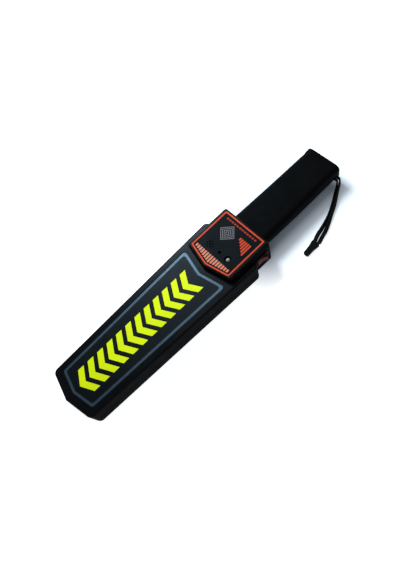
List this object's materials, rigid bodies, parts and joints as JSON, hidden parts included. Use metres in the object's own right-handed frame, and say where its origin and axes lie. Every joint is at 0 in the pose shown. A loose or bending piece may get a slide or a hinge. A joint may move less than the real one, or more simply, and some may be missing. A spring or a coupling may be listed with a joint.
{
  "type": "security metal detector wand",
  "caption": "Hand-held metal detector with a long flat search paddle, a raised control head with a side rocker switch, and a straight grip with a wrist strap.",
  "frame": {"origin": "centre of the bounding box's bottom, the wrist strap left out: the wand lies on its back on z = 0", "axes": "+X from the paddle's tip to the grip's end, +Y to the left side as seen from the grip's end with the control face up, +Z out of the control face"},
  "size_m": [0.41, 0.1105, 0.0396],
  "materials": {
    "housing": "fine grained black moulding",
    "label": "satin printed film",
    "rocker_red": "glossy red",
    "switch_black": "satin black",
    "button_grey": "soft touch grey",
    "lamp_clear": "clear resin, faceted look",
    "steel": "nickel plated",
    "dark_steel": "blackened",
    "brass": "plain",
    "board_green": "solder resist",
    "copper": "enamelled winding",
    "former_cream": "plain",
    "chip_black": "moulded",
    "capacitor_blue": "shrink sleeve",
    "trimmer_blue": "moulded",
    "cone_paper": "pressed fibre",
    "magnet_grey": "ground ferrite",
    "battery_case": "printed steel can",
    "plate_brown": "pressed board",
    "cord_black": "flat woven strap",
    "ferrule_black": "moulded",
    "lead_red": "insulation",
    "lead_black": "insulation",
    "lead_grey": "insulation"
  },
  "bodies": {
    "housing": {"front_shell": "housing", "back_shell": "housing", "paddle_label": "label", "control_label": "label", "coil_former": "former_cream", "search_coil": "copper", "coil_lead": "lead_grey", "circuit_board": "board_green", "chip_1": "chip_black", "chip_2": "chip_black", "capacitor_1": "capacitor_blue", "capacitor_2": "capacitor_blue", "trimmer_body": "trimmer_blue", "lamp_lens": "lamp_clear", "lamp_leg_1": "steel", "lamp_leg_2": "steel", "speaker_frame": "dark_steel", "speaker_cone": "cone_paper", "speaker_magnet": "magnet_grey", "speaker_lead_1": "lead_red", "speaker_lead_2": "lead_black", "switch_frame": "switch_black", "switch_terminal_1": "brass", "switch_terminal_2": "brass", "switch_terminal_3": "brass", "switch_lead_1": "lead_red", "switch_lead_2": "lead_black", "tact_switch": "chip_black", "phone_jack": "dark_steel", "motor_can": "steel", "motor_lead_1": "lead_red", "motor_lead_2": "lead_black", "battery": "battery_case", "battery_socket": "steel", "battery_stud": "steel", "snap_plate": "plate_brown", "snap_stud": "steel", "snap_cup": "steel", "battery_lead_red": "lead_red", "battery_lead_black": "lead_black", "board_screw_1": "steel", "board_screw_2": "steel", "strap_pin": "steel", "strap_bight": "cord_black", "strap_inner_strand": "cord_black", "strap_outer_strand": "cord_black", "strap_ferrule": "ferrule_black", "housing_screw_1": "dark_steel", "housing_screw_2": "dark_steel", "housing_screw_3": "dark_steel", "housing_screw_4": "dark_steel", "housing_screw_5": "dark_steel", "housing_screw_6": "dark_steel"},
    "power_rocker": {"power_rocker": "rocker_red"},
    "sense_button": {"sense_button": "button_grey", "tact_plunger": "button_grey"},
    "battery_door": {"battery_door": "housing"},
    "trimmer_screw": {"trimmer_screw": "brass"},
    "motor_rotor": {"motor_shaft": "dark_steel", "motor_weight": "brass"}
  },
  "joints": [
    {"name": "rocker_tilt", "type": "hinge", "parent": "housing", "child": "power_rocker", "pos_m": [0.0597, -0.0348, 0.02375], "axis": [0, 0, 1], "range_deg": [0, 24]},
    {"name": "button_press", "type": "slide", "parent": "housing", "child": "sense_button", "axis": [0, -1, 0], "range_m": [0, 0.0012], "stiffness_N_per_m": 400, "springref_m": -0.0008},
    {"name": "door_slide", "type": "slide", "parent": "housing", "child": "battery_door", "axis": [0, 1, 0], "range_m": [0, 0.04]},
    {"name": "trimmer_turn", "type": "hinge", "parent": "housing", "child": "trimmer_screw", "pos_m": [0.029, -0.002, 0.0278], "axis": [0, 0, 1], "range_deg": [-135, 135]},
    {"name": "rotor_spin", "type": "hinge", "parent": "housing", "child": "motor_rotor", "pos_m": [0.11, 0, 0.0186], "axis": [1, 0, 0], "continuous": true}
  ]
}
